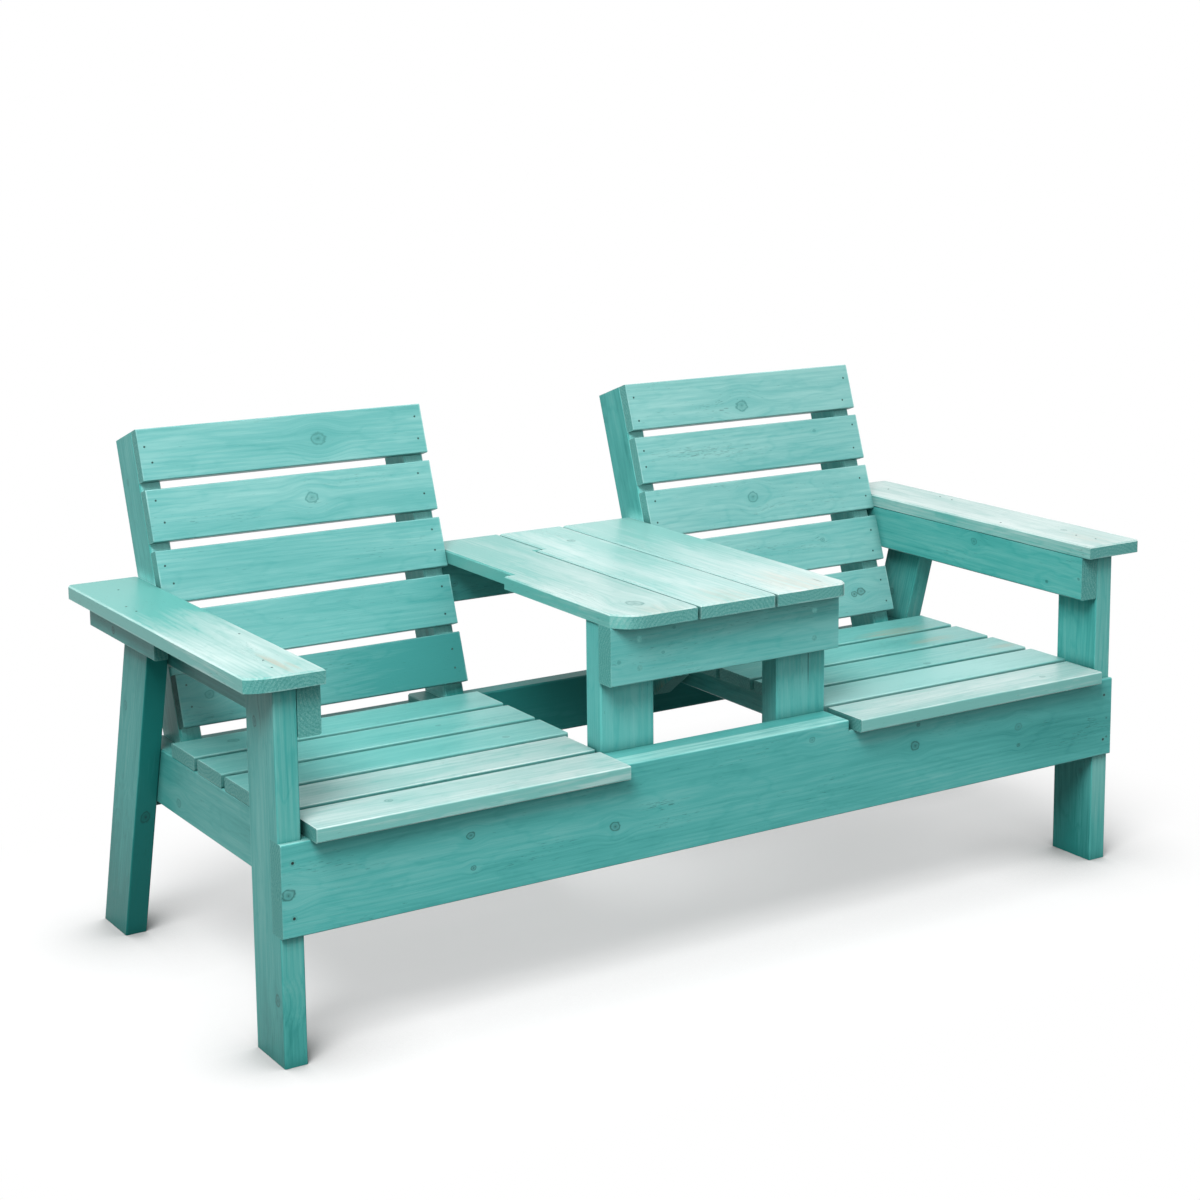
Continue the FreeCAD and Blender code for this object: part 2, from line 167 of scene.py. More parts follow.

# sRGB of the deep late wood, the middle, the pale early wood and the rubbed edge, which is also a
# painted highlight, then how much the open pores leave of the surface's mirroring, and the satin
# coat of the stain. The paler stains of the tops and the front seat slats are partly fading and
# partly painted light and sheen, and "narrow" is the tone by which the narrow faces are painted
# deeper or paler than the wide ones: painted shade and light by which way a face looks.
finishes = {
    "seat": {"stain": ("#50a39e", "#6cb5b0", "#94c9c5", "#bfe6e1"), "mirror": 0.5, "sheen": 0.3},
    # the front seat slats: wear, and painted sheen that makes them paler
    "wornAndSheen": {
        "stain": ("#6cb0aa", "#b0cac7", "#e2e8e5", "#e6efed"), "mirror": 0.5, "sheen": 0.5, "narrow": -0.45},
    "back": {"stain": ("#439996", "#67aca9", "#8fc2be", "#b4e0dc"), "mirror": 0.4, "sheen": 0.1},
    # the armrests and a table board: fading, and painted light that makes their tops pale
    "top": {
        "stain": ("#5eaaa3", "#a6c5c1", "#d2e0dd", "#dcedea"), "mirror": 0.5, "sheen": 0.5, "narrow": -0.45},
    # the two palest table boards: fading, and painted light on their tops
    "bleachedAndLit": {
        "stain": ("#84beb8", "#bed6d3", "#e8e9e5", "#eaf2f0"), "mirror": 0.5, "sheen": 0.5, "narrow": -0.45},
    "side": {"stain": ("#22827d", "#4ba5a0", "#78bbb5", "#94cfca"), "mirror": 0.15, "sheen": 0.0},
    "rail": {"stain": ("#328e8a", "#4fa8a4", "#72b9b5", "#9ed5d0"), "mirror": 0.25, "sheen": 0.05},
}

# What single boards show. A mark's place and size are metres along and across the board from its
# middle: knots have a radius, the others a half length and half width, and pools and bare spots
# then a strength; the pools are partly stain and partly painted shade and sheen. "tone" shifts the
# whole board, "dim" darkens it with painted shade, the mark that lays the gaps' deep tint all over
# it is painted shade too, "upward" is how far its upper edges and faces are rubbed pale and painted
# with highlight, and "narrow", "mirror" and "finish" take the place of what its kind of board has.
boardMarks = {
    "front_rail": {
        "tone": 0.1,
        # its top rubbed pale in streaks and painted with highlight
        "upward": 0.85,
        "knots": [(0.132, 0.058, 0.005), (0.578, 0.007, 0.007)],
        "darkKnots": [
            (-0.788, -0.014, 0.009), (-0.496, 0.018, 0.006), (-0.493, -0.033, 0.004),
            (-0.246, -0.016, 0.008), (0.347, 0.012, 0.008), (0.354, 0.047, 0.0035),
            (0.579, -0.026, 0.0035), (0.7885, -0.046, 0.002), (0.787, -0.011, 0.002)],
        "resin": [(-0.16, 0.005, 0.06, 0.018), (0.354, 0.048, 0.010, 0.006), (0.749, -0.010, 0.03, 0.02)],
        "poolsAndPaintedLight": [
            (0.66, -0.02, 0.30, 0.10, -0.30), (-0.76, 0.0, 0.06, 0.08, 0.12),
            (-0.28, 0.03, 0.12, 0.03, 0.10), (0.12, 0.080, 0.06, 0.008, 0.5),
            (0.17, 0.078, 0.02, 0.008, 0.4), (0.02, 0.082, 0.05, 0.006, 0.3)],
    },
    # the front legs: fronts painted paler than their sides, painted light; darker towards the foot, and the
    # left one's deep tint all over is painted shade
    "front_leg_left": {
        "tone": 0.1,
        "narrow": 0.10,
        "paintedShadeAllOver": 0.10,
        "poolsAndPaintedLight": [(-0.32, 0.0, 0.26, 0.2, -0.5)],
        "darkKnots": [(0.218, 0.018, 0.007), (-0.183, -0.031, 0.008)],
        "checks": [(0.235, 0.004, 0.045, 0.0009)],
    },
    "front_leg_right": {
        "narrow": 0.3,
        "poolsAndPaintedLight": [(-0.30, 0.0, 0.30, 0.2, -0.5), (0.1, 0.0, 0.2, 0.2, -0.1)],
        "knots": [(-0.12, -0.02, 0.004)],
    },
    # its front, turned down under the armrest, painted deeper: painted shade, and darker towards the foot
    "rear_leg_left": {
        "mirror": 0.1,
        "narrow": -0.6,
        "paintedShadeAllOver": 0.15,
        "poolsAndPaintedLight": [(-0.32, 0.0, 0.40, 0.2, -0.55)],
        "knots": [(0.120, 0.024, 0.007)],
        "edgeKnots": [(-0.052, 0.0, 0.009)],
    },
    "rear_leg_right": {"poolsAndPaintedLight": [(-0.32, 0.0, 0.40, 0.2, -0.4)], "knots": [(0.11, 0.01, 0.006)]},
    # in shade under the table and seats: painted shade, darker and deeper in tint
    "rear_rail": {
        "mirror": 0.05,
        "tone": -0.4,
        "paintedShadeAllOver": 0.55,
        "knots": [(0.1, -0.02, 0.006), (-0.5, 0.02, 0.007)],
    },
    "arm_cleat_left": {"darkKnots": [(0.035, -0.008, 0.006)]},
    "arm_support_right": {
        "knots": [(-0.055, 0.019, 0.007)],
        "darkKnots": [(-0.255, -0.020, 0.003), (-0.337, -0.001, 0.0025)],
    },
    "armrest_right": {
        "tone": 0.15,
        "knots": [(-0.222, 0.008, 0.006)],
        "bare": [(-0.30, 0.0, 0.08, 0.05, 0.25)],
    },
    # painted sheen: paler at the front, darker at the rear, and its sides painted deeper; partly stain
    "armrest_left": {
        "mirror": 0.25,
        "narrow": -0.5,
        "poolsAndPaintedLight": [(0.34, 0.0, 0.56, 0.3, -1.0), (-0.1, 0.0, 0.4, 0.3, 0.16)],
        "resin": [(0.14, -0.030, 0.03, 0.006), (-0.104, -0.002, 0.01, 0.004), (-0.157, 0.046, 0.02, 0.004)],
        "bare": [(-0.29, 0.014, 0.085, 0.010, 0.55), (-0.32, 0.028, 0.04, 0.006, 0.45)],
    },
    "table_apron_rear": {"knots": [(-0.186, -0.006, 0.006)]},
    "table_apron_front": {
        "tone": 0.3,
        "knots": [(-0.103, 0.033, 0.0025), (-0.205, -0.009, 0.003), (-0.124, -0.004, 0.0025)],
    },
    "table_post_left": {"tone": 0.3, "knots": [(-0.08, 0.01, 0.004)]},
    # its side painted deeper: painted shade
    "table_post_right": {"tone": 0.15, "narrow": -0.5, "checks": [(0.03, 0.013, 0.055, 0.0012)]},
    # the table boards: their rear parts painted darker, painted sheen that fades towards the backs, partly
    # stain
    "table_board_left": {
        "poolsAndPaintedLight": [(0.30, 0.0, 0.60, 0.3, -0.5), (0.0, 0.0, 0.3, 0.3, -0.1)],
        "knots": [(-0.263, -0.008, 0.014)],
        "bare": [(-0.33, 0.0, 0.07, 0.06, 0.20)],
    },
    "table_board_middle": {
        "finish": "bleachedAndLit",
        "poolsAndPaintedLight": [(0.36, 0.0, 0.80, 0.3, -0.4)],
        "bare": [(-0.31, 0.0, 0.10, 0.07, 0.25)],
        "knots": [(0.21, 0.02, 0.008)],
    },
    "table_board_right": {
        "finish": "bleachedAndLit",
        "poolsAndPaintedLight": [(0.36, 0.0, 0.80, 0.3, -0.6), (-0.3, 0, 0.4, 0.3, 0.25)],
        "bare": [(-0.29, 0.0, 0.14, 0.07, 0.30)],
        "checks": [(-0.295, 0.034, 0.020, 0.0014)],
    },
    # the seat slats: the front ones paler and the others set one by one, painted sheen and partly wear
    "seat_slat_left_1": {"tone": 0.1, "finish": "wornAndSheen", "knots": [(-0.12, 0.012, 0.006)]},
    "seat_slat_left_2": {"finish": "wornAndSheen", "poolsAndPaintedLight": [(0, 0, 0.6, 0.2, -0.2)]},
    "seat_slat_left_4": {"knots": [(0.121, 0.002, 0.004)]},
    "seat_slat_right_1": {"finish": "wornAndSheen", "knots": [(0.16, -0.010, 0.005)]},
    "seat_slat_right_2": {"poolsAndPaintedLight": [(0, 0, 0.6, 0.2, 0.55)]},
    "seat_slat_right_3": {
        "tone": 0.2,
        "bare": [(0.247, -0.017, 0.05, 0.02, 0.45)],
        "knots": [(0.048, -0.036, 0.006)],
    },
    "seat_slat_right_4": {"bare": [(0.166, -0.013, 0.07, 0.03, 0.5)]},
    "seat_slat_right_5": {"bare": [(0.150, -0.030, 0.12, 0.03, 0.5)]},
    # painted shade from the seat and armrest above it, dimmed and darker at its right end
    "back_slat_left_1": {
        "mirror": 0.2,
        "tone": -0.1,
        "dim": 0.82,
        "knots": [(-0.205, 0.004, 0.007)],
        "poolsAndPaintedLight": [(0.2, 0, 0.3, 0.2, -0.5)],
    },
    "back_slat_left_2": {"tone": -0.1},
    "back_slat_left_3": {"tone": -0.05},
    "back_slat_left_4": {"knots": [(0.028, 0.001, 0.010)], "resin": [(0.018, 0.008, 0.014, 0.010)]},
    "back_slat_left_5": {"knots": [(0.057, -0.001, 0.0115)], "resin": [(0.080, -0.004, 0.012, 0.008)]},
    "back_slat_right_1": {"tone": 0.1, "darkKnots": [(0.170, -0.002, 0.006), (0.187, 0.001, 0.008)]},
    "back_slat_right_2": {"tone": 0.15, "knots": [(0.12, 0.01, 0.004)]},
    "back_slat_right_3": {"tone": 0.25, "knots": [(-0.021, 0.008, 0.010)]},
    "back_slat_right_4": {"tone": 0.2, "knots": [(0.15, 0.02, 0.003)]},
    "back_slat_right_5": {"tone": 0.3, "knots": [(-0.007, -0.018, 0.011)]},
    # the uprights' fronts painted deeper: painted shade
    "back_upright_left_outer": {"narrow": -0.3, "knots": [(0.21, 0.012, 0.005)]},
    "back_upright_left_inner": {"narrow": -0.3, "knots": [(-0.11, -0.010, 0.006)]},
    "back_upright_right_outer": {"narrow": -0.3, "knots": [(0.05, 0.014, 0.004)]},
    "back_upright_right_inner": {"narrow": -0.3, "bare": [(-0.30, 0.0, 0.05, 0.06, 0.7)]},
}


def aroundSpot(tree, board, place, scale, core):
    # the way and distance from a spot on the board, and 1 in its core falling to 0 at its rim;
    # scale is one over its half axes
    offset = addNode(tree, "VectorMath", {"operation": "SUBTRACT"}, {0: board, 1: place})
    flat = addNode(tree, "VectorMath", {"operation": "MULTIPLY"}, {0: offset, 1: scale})
    distance = addNode(tree, "VectorMath", {"operation": "LENGTH"}, {0: flat}, out=1)
    inside = addNode(tree, "MapRange", {"interpolation_type": "SMOOTHSTEP"}, {
        "Value": distance, "From": (core, 1), "To": (1, 0)})
    return offset, distance, inside


# share of a mark that is full before it fades towards its rim
markCores = {"poolsAndPaintedLight": 0.0, "resin": 0.2, "bare": 0.2, "checks": 0.4}


def markOnBoard(tree, board, kind, mark):
    # 1 in the core of one of a board's long marks, falling to 0 at its rim
    along, across, length, width = mark[:4]
    return aroundSpot(tree, board, (along, across, 0), (1 / length, 1 / width, 0), markCores[kind])[2]


def woodPattern(tree, wood, name, dice, out=0):
    # one of the patterns, drawn out along the grain
    along, across, detail, roughness = patterns[name]
    scaled = addNode(tree, "VectorMath", {"operation": "MULTIPLY_ADD"}, {
        0: wood, 1: (along, across, across), 2: [dice.uniform(0, 90) for _ in range(3)]})
    return addNode(tree, "TexNoise", {}, {
        "Vector": scaled, "Scale": 1.0, "Detail": detail, "Roughness": roughness}, out)


def shiftTone(tree, value, depth, tone):
    # the tone, moved by how far a pattern's value is from one half
    centred = addNode(tree, "Math", {"operation": "SUBTRACT"}, {0: value, 1: 0.5})
    return addNode(tree, "Math", {"operation": "MULTIPLY_ADD"}, {0: centred, 1: depth, 2: tone})


knot = {
    "teal": "#3a7f7b",    # stained heart and rim
    "dark": "#1f4f4c",    # the same with resin in it
    "drawnOut": 0.8,      # its width over its length
    "reach": 5,           # radii over which the rings bend round it
    "core": 0.1,          # share of that reach where they bend fully
    "push": 0.75,
    "ragged": 0.16,
    "rings": ((0.0, 0.95), (0.03, 0.55), (0.12, 0.24), (0.17, 0.78), (0.215, 0.0)),   # heart to rim
}


def bendRoundKnots(tree, board, dice, marks):
    # gives the board with its rings bent round the knots, and the tint and strength of each knot
    wide, edgeOn = (knot["drawnOut"], 1, 0), (knot["drawnOut"], 0, 1)
    knots = [((a, b, 0), wide, r, "teal") for a, b, r in marks.get("knots", ())]
    knots += [((a, b, 0), wide, r, "dark") for a, b, r in marks.get("darkKnots", ())]
    knots += [((a, 0, b), edgeOn, r, "dark") for a, b, r in marks.get("edgeKnots", ())]
    bent, hearts = board, []
    for spot, shape, radius, tint in knots:
        scale = [s / radius / knot["reach"] for s in shape]
        offset, distance, inside = aroundSpot(tree, board, spot, scale, knot["core"])
        sideways = addNode(tree, "VectorMath", {"operation": "MULTIPLY"}, {
            0: offset, 1: [0] + [knot["push"] * s for s in shape[1:]]})
        shove = addNode(tree, "VectorMath", {"operation": "SCALE"}, {0: sideways, "Scale": inside})
        bent = addNode(tree, "VectorMath", {"operation": "SUBTRACT"}, {0: bent, 1: shove})
        rim = shiftTone(tree, woodPattern(tree, board, "knotRim", dice), knot["ragged"], distance)
        heart = addNode(tree, "ValToRGB", {"stops": [(p, grey(v)) for p, v in knot["rings"]]}, {"Fac": rim})
        hearts.append((linear(knot[tint]), heart))
    return bent, hearts


def drawGrain(tree, board, dice, marks):
    # everything that the wood brings with it, before the stain
    grain = {}
    bent, grain["hearts"] = bendRoundKnots(tree, board, dice, marks)
    wave = woodPattern(tree, bent, "trunkWave", dice, out=1)
    wave = addNode(tree, "VectorMath", {"operation": "SUBTRACT"}, {0: wave, 1: (0.5, 0.5, 0.5)})
    waved = addNode(tree, "VectorMath", {"operation": "MULTIPLY_ADD"}, {
        0: wave, 1: pine["waveReach"], 2: bent})

    aside, away, skew = pine["pithAside"], pine["pithAway"], pine["pithSkew"]
    pith = (0, dice.uniform(-aside, aside), dice.choice((-1, 1)) * dice.uniform(*away))
    tilt = (0, *[dice.uniform(-s, s) for s in skew])
    cut = addNode(tree, "Mapping", {"vector_type": "POINT"}, {
        "Vector": waved, "Location": pith, "Rotation": tilt})
    # at a scale of 1 this texture has a ring every pi / 10 metres
    rings = addNode(tree, "TexWave", {"wave_type": "RINGS", "rings_direction": "X", "wave_profile": "SAW"}, {
        "Vector": cut, "Scale": math.pi / 10 / pine["ringSpacing"]}, out=1)
    grain["ring"] = addNode(tree, "ValToRGB", {
        "stops": [(p, grey(v)) for p, v in pine["ringTones"]]}, {"Fac": rings})

    grain["fibre"] = woodPattern(tree, waved, "fibre", dice)
    grain["streak"] = woodPattern(tree, waved, "streak", dice)
    grain["cloud"] = woodPattern(tree, bent, "cloud", dice)
    grain["puddle"] = woodPattern(tree, bent, "puddle", dice)
    grain["bent"], grain["waved"] = bent, waved
    return grain


def stainAndPaintedLightTone(tree, board, grain, dice, marks, turned, finish):
    # how deep or pale the stain came out, with painted shade and light by face and place
    tone = 0.5 + dice.uniform(-pine["boardSpread"], pine["boardSpread"]) + marks.get("tone", 0)
    for pattern in ("cloud", "fibre", "streak", "ring"):
        tone = shiftTone(tree, grain[pattern], pine[pattern + "Depth"], tone)
    tide = addNode(tree, "Math", {"operation": "PINGPONG"}, {0: grain["puddle"], 1: 0.5})
    tide = addNode(tree, "MapRange", {"interpolation_type": "SMOOTHSTEP"}, {
        "Value": tide, "From": pine["tideRim"], "To": (0, pine["tideDepth"])})
    tone = addNode(tree, "Math", {"operation": "SUBTRACT"}, {0: tone, 1: tide})
    # narrow faces painted deeper or paler than the wide ones: painted shade and light
    narrow = marks.get("narrow", finishes[finish].get("narrow"))
    if narrow is not None:
        narrow = addNode(tree, "MapRange", {}, {
            "Value": turned["wideFace"], "From": pine["wideFace"], "To": (narrow, 0)})
        tone = addNode(tree, "Math", {"operation": "ADD"}, {0: tone, 1: narrow})
    # pools: stain, and painted shade and sheen
    for mark in marks.get("poolsAndPaintedLight", ()):
        poolAndPaintedLight = markOnBoard(tree, board, "poolsAndPaintedLight", mark)
        tone = addNode(tree, "Math", {"operation": "MULTIPLY_ADD"}, {0: poolAndPaintedLight, 1: mark[4], 2: tone})
    return tone


resin = {
    "tint": "#1f4f4c",          # of the short dark lines, and of drying cracks
    "depth": 0.5,               # how much of that tint a line takes
    "places": (0.5, 0.9),       # from where the lines are rare to where they are close
    "threshold": (0.78, 0.56),  # how high a line has to stand out at these two
    "mark": 0.3,                # how much closer a mark on the board draws them
}
bareWood = {
    "tint": "#b39b80",
    "streaks": (0.35, 0.6),     # the brush left the stain thin in streaks
}


def drawResinAndBareWood(tree, board, grain, dice, marks, colour):
    # the resin lines and cracks, then the places where the wood looks through
    lines = woodPattern(tree, grain["waved"], "resinLine", dice)
    places = woodPattern(tree, grain["bent"], "resinPlace", dice)
    for mark in marks.get("resin", ()):
        close = markOnBoard(tree, board, "resin", mark)
        places = addNode(tree, "Math", {"operation": "MULTIPLY_ADD"}, {
            0: close, 1: resin["mark"], 2: places})
    limit = addNode(tree, "MapRange", {}, {
        "Value": places, "From": resin["places"], "To": resin["threshold"]})
    dark = addNode(tree, "Math", {"operation": "GREATER_THAN"}, {0: lines, 1: limit})
    dark = addNode(tree, "Math", {"operation": "MULTIPLY"}, {0: dark, 1: resin["depth"]})
    for mark in marks.get("checks", ()):
        crack = markOnBoard(tree, grain["waved"], "checks", mark)
        dark = addNode(tree, "Math", {"operation": "MAXIMUM"}, {0: dark, 1: crack})
    colour = addNode(tree, "Mix", {"data_type": "RGBA"}, {
        0: dark, 6: colour, 7: linear(resin["tint"])}, out=2)
    for mark in marks.get("bare", ()):
        spot = markOnBoard(tree, board, "bare", mark)
        thin = addNode(tree, "MapRange", {}, {
            "Value": grain["streak"], "From": bareWood["streaks"], "To": (0, mark[4])})
        thin = addNode(tree, "Math", {"operation": "MULTIPLY"}, {0: spot, 1: thin})
        colour = addNode(tree, "Mix", {"data_type": "RGBA"}, {
            0: thin, 6: colour, 7: linear(bareWood["tint"])}, out=2)
    return colour


endGrain = {
    "stain": ("#347f7a", "#529994", "#7cb2ac"),
    "ringDepth": 0.35,
    "poreDepth": 1.7,
    "facing": (0.7, 0.9),   # how squarely a surface faces along the grain, from none to all of it
}


def drinkAtEnds(tree, grain, dice, colour, onEnds):
    # end grain: the rings cut across, mottled by the pores
    pores = woodPattern(tree, grain["waved"], "pore", dice)
    depth = endGrain["ringDepth"]
    tone = addNode(tree, "Math", {"operation": "MULTIPLY_ADD"}, {
        0: grain["ring"], 1: depth, 2: 0.5 - 0.5 * depth})
    tone = shiftTone(tree, pores, endGrain["poreDepth"], tone)
    ends = addNode(tree, "ValToRGB", {
        "stops": [(i / 2, linear(c)) for i, c in enumerate(endGrain["stain"])]}, {"Fac": tone})
    return addNode(tree, "Mix", {"data_type": "RGBA"}, {0: onEnds, 6: colour, 7: ends}, out=2)


# pale edges: partly rubbed by wear, partly painted highlight, kept to open edges that face up
rubbingAndHighlight = {
    "amount": 0.50,
    "width": (0.0006, 0.003),     # metres in from the corner, fully rubbed and untouched
    "patches": (0.38, 0.62),      # puddle heights from untouched to rubbed
    "open": (0.8, 1.0),           # openness: no hand or cloth gets into a joint
    "facing": (-0.2, 0.4),        # upward slope of the face
    "upper": (0.5, 0.9),          # the same on upper edges and faces, rubbed and painted with highlight
    "upperStreaks": (0.3, 0.6),
}


def rubAndHighlightEdges(tree, board, half, grain, marks, turned, near):
    # how far the corners are rubbed pale and painted with highlight: by the second smallest distance to the
    # board's faces
    away = addNode(tree, "VectorMath", {"operation": "ABSOLUTE"}, {0: board})
    inward = addNode(tree, "VectorMath", {"operation": "SUBTRACT"}, {0: half, 1: away})
    parts = addNode(tree, "SeparateXYZ", {}, {0: inward}).node.outputs
    least = addNode(tree, "Math", {"operation": "MINIMUM"}, {0: parts[0], 1: parts[1]})
    most = addNode(tree, "Math", {"operation": "MAXIMUM"}, {0: parts[0], 1: parts[1]})
    most = addNode(tree, "Math", {"operation": "MINIMUM"}, {0: most, 1: parts[2]})
    second = addNode(tree, "Math", {"operation": "MAXIMUM"}, {0: least, 1: most})
    edge = addNode(tree, "MapRange", {"interpolation_type": "SMOOTHSTEP"}, {
        "Value": second, "From": rubbingAndHighlight["width"], "To": (rubbingAndHighlight["amount"], 0)})
    for value, limits in ((grain["puddle"], "patches"), (near, "open"), (turned["skyward"], "facing")):
        share = addNode(tree, "MapRange", {}, {"Value": value, "From": rubbingAndHighlight[limits]})
        edge = addNode(tree, "Math", {"operation": "MULTIPLY"}, {0: edge, 1: share})
    if "upward" in marks:
        upper = addNode(tree, "MapRange", {}, {
            "Value": turned["skyward"], "From": rubbingAndHighlight["upper"], "To": (0, marks["upward"])})
        streaks = addNode(tree, "MapRange", {}, {"Value": grain["streak"], "From": rubbingAndHighlight["upperStreaks"]})
        upper = addNode(tree, "Math", {"operation": "MULTIPLY"}, {0: upper, 1: streaks})
        edge = addNode(tree, "Math", {"operation": "MAXIMUM"}, {0: edge, 1: upper})
    return edge


shelter = {
    "gapReach": 0.022,       # metres, a gap this narrow keeps a pool of stain and is painted with shade
    "gapOpen": (0.15, 0.95),
    "reach": 0.30,           # metres, within this reach a sheltered board is painted darker: painted shade
    "open": (0.1, 0.7),
}
# What a gap does to most boards, a pool of stain deepened by painted shade, and to the uprights,
# painted light that makes them paler between the slats: "shade" is how much darker the board is in
# there, and below 0 how much lighter.
gaps = {
    "board": {"tint": "#1d6c68", "gapTintShare": 0.9, "from": 0.0, "shade": 0.28},
    "upright": {"tint": "#93c9c5", "gapTintShare": 0.75, "from": 0.3, "shade": -0.7},
}


def shadeInGaps(tree, colour, marks, near, upright):
    # near is 1 in the open and falls in a gap
    gap = gaps["upright" if upright else "board"]
    # the gap's tint: a pool of stain with painted shade, and on the uprights painted light
    poolAndPaintedLight = addNode(tree, "MapRange", {}, {
        "Value": near, "From": shelter["gapOpen"], "To": (gap["gapTintShare"], marks.get("paintedShadeAllOver", 0))})
    colour = addNode(tree, "Mix", {"data_type": "RGBA"}, {0: poolAndPaintedLight, 6: colour, 7: linear(gap["tint"])}, out=2)
    openness = near
    # painted shade where the board is sheltered, by occlusion within the shelter's reach
    if not upright:
        openness = addNode(tree, "AmbientOcclusion", {"samples": 6}, {"Distance": shelter["reach"]}, out=1)
        openness = addNode(tree, "MapRange", {}, {"Value": openness, "From": shelter["open"]})
    # dim: painted shade over the whole board
    dim = marks.get("dim", 1)
    shade = addNode(tree, "MapRange", {}, {
        "Value": openness, "From": (gap["from"], 1), "To": (dim * (1 - gap["shade"]), dim)})
    return addNode(tree, "VectorMath", {"operation": "SCALE"}, {0: colour, "Scale": shade})


satin = {
    "ior": 1.5,
    "roughness": (0.34, 0.46),   # deep and pale places
    "endRoughness": 0.7,
    "leastSheen": 0.1,           # share of the sheen that the deepest places keep
    "sheenRoughness": 0.3,
    "ringRelief": 0.4,           # of the fibres' relief
    "relief": 0.0005,            # metres
    "reliefStrength": 0.3,
}


def pineMaterial(name, lie, finish, dice, marks):
    turn, middle, half = lie
    material, tree = newMaterial("stained_pine_" + name)
    deep, mid, pale, rubbedAndHighlight = [linear(c) for c in finishes[finish]["stain"]]

    # board coordinates in metres: x along the grain, y across the face, z through it
    place = addNode(tree, "TexCoord", out=3)
    board = addNode(tree, "Mapping", {"vector_type": "POINT"}, {
        "Vector": place, "Rotation": turn.to_euler(), "Location": -middle})

    # which way the surface faces: 1 on the end grain, 1 on the wide faces, and how far upward
    facing = addNode(tree, "NewGeometry", out=1)
    turned = {"skyward": addNode(tree, "SeparateXYZ", {}, {0: facing}, out=2)}
    for side, axis in (("endFace", 0), ("wideFace", 2)):
        along = addNode(tree, "VectorMath", {"operation": "DOT_PRODUCT"}, {0: facing, 1: turn[axis]}, out=1)
        turned[side] = addNode(tree, "Math", {"operation": "ABSOLUTE"}, {0: along})
    onEnds = addNode(tree, "MapRange", {}, {"Value": turned["endFace"], "From": endGrain["facing"]})
    near = addNode(tree, "AmbientOcclusion", {"samples": 6}, {"Distance": shelter["gapReach"]}, out=1)

    grain = drawGrain(tree, board, dice, marks)
    tone = stainAndPaintedLightTone(tree, board, grain, dice, marks, turned, finish)
    colour = addNode(tree, "ValToRGB", {"stops": [(0.0, deep), (0.5, mid), (1.0, pale)]}, {"Fac": tone})
    colour = drawResinAndBareWood(tree, board, grain, dice, marks, colour)
    colour = drinkAtEnds(tree, grain, dice, colour, onEnds)
    edge = rubAndHighlightEdges(tree, board, half, grain, marks, turned, near)
    # pale edges: rubbing and painted highlight
    colour = addNode(tree, "Mix", {"data_type": "RGBA"}, {0: edge, 6: colour, 7: rubbedAndHighlight}, out=2)
    for tint, heart in grain["hearts"]:
        heart = addNode(tree, "Mix", {}, {0: onEnds, 2: heart, 3: 0.0})
        colour = addNode(tree, "Mix", {"data_type": "RGBA"}, {0: heart, 6: colour, 7: tint}, out=2)
    colour = shadeInGaps(tree, colour, marks, near, name.startswith("back_upright"))

    rough = addNode(tree, "MapRange", {}, {"Value": tone, "To": satin["roughness"]})
    rough = addNode(tree, "Mix", {}, {0: onEnds, 2: rough, 3: satin["endRoughness"]})
    shine = addNode(tree, "MapRange", {}, {"Value": tone, "To": (satin["leastSheen"], 1)})
    shine = addNode(tree, "Mix", {}, {0: onEnds, 2: shine, 3: 0.0})
    coat = addNode(tree, "Math", {"operation": "MULTIPLY"}, {0: shine, 1: finishes[finish]["sheen"]})
    height = addNode(tree, "Math", {"operation": "MULTIPLY_ADD"}, {
        0: grain["ring"], 1: satin["ringRelief"], 2: grain["fibre"]})
    bump = addNode(tree, "Bump", {}, {
        "Height": height, "Strength": satin["reliefStrength"], "Distance": satin["relief"]})
    surface = addNode(tree, "BsdfPrincipled", {}, {
        "Base Color": colour, "Roughness": rough, "Normal": bump, "IOR": satin["ior"],
        "Specular IOR Level": marks.get("mirror", finishes[finish]["mirror"]),
        "Coat Weight": coat, "Coat Roughness": satin["sheenRoughness"]})
    addNode(tree, "OutputMaterial", {}, {"Surface": surface})
    return material


chanceKnot = {
    "area": (0.8, 0.6),         # share of the board's length and width where it can lie
    "radius": (0.003, 0.008),   # metres
}
firstDice = 40   # seed of the first board
boardNames = sorted(n for n in nodes if any(n.startswith(k) for k in boardKinds))
for number, name in enumerate(boardNames):
    dice = random.Random(firstDice + number)
    turn, middle, half, finish = lieOf(name)
    # a board that the photograph shows too little of has one knot, placed by chance
    anyKnot = [dice.uniform(-share, share) * h for share, h in zip(chanceKnot["area"], half)]
    anyKnot.append(dice.uniform(*chanceKnot["radius"]))
    marks = boardMarks.get(name, {"knots": [anyKnot]})
    dress(name, pineMaterial(name, (turn, middle, half), marks.get("finish", finish), dice, marks))
print("stained pine on", len(boardNames), "boards")


# Zinc plated steel gone dull, with a film of stain over it that hides part of the metal.
screwSteel = {
    "grime": 400.0,              # patches to the metre, 2.5 mm each
    "grimeEdges": (0.3, 0.7),
    "roughness": (0.35, 0.6),
    "metallic": 0.5,
    "relief": 0.0002,            # metres
    "reliefStrength": 0.3,
    "shadow": 0.002,             # metres, how near the wood darkens it
    "headRadius": 0.005,         # of the rail's and the apron's screws
    "recessWidth": (0.0018, 0.0028),   # radius that is fully dark, and where that ends
    # painted shade in the recesses of the rail's screws
    "recessShadeTint": "#142624",
}


